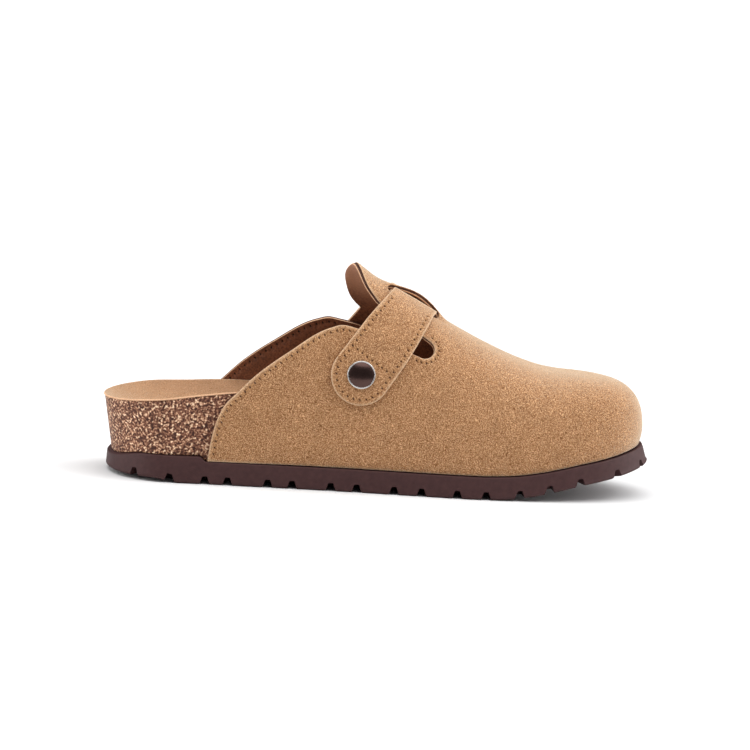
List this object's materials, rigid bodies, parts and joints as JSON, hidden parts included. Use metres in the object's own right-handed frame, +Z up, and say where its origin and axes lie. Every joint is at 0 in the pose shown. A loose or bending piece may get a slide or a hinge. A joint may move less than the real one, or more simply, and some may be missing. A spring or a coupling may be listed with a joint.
{
  "type": "footbed clog",
  "caption": "Closed-toe slip-on suede clog with an open heel, a cupped cork footbed, a riveted instep strap threaded under a bridge of the tongue, and a notched foam sole.",
  "frame": {"origin": "middle of the footprint, on the ground", "axes": "+X towards the toe, -Y towards the inner side of the left foot, +Z up"},
  "size_m": [0.2569, 0.0972, 0.1035],
  "materials": {
    "suede": "tan suede with a short, finely speckled nap",
    "insole_suede": "light tan suede sheet, matte",
    "cork": "sealed cork granules, light flecks on dark brown",
    "outsole_foam": "dark brown foam rubber, satin",
    "gunmetal": "dark plated dome with a bright rim"
  },
  "bodies": {
    "root": {"outsole": "outsole_foam", "footbed": "cork", "insole": "insole_suede", "upper": "suede", "strap": "suede", "rivet_inner": "gunmetal", "rivet_outer": "gunmetal"}
  },
  "joints": []
}
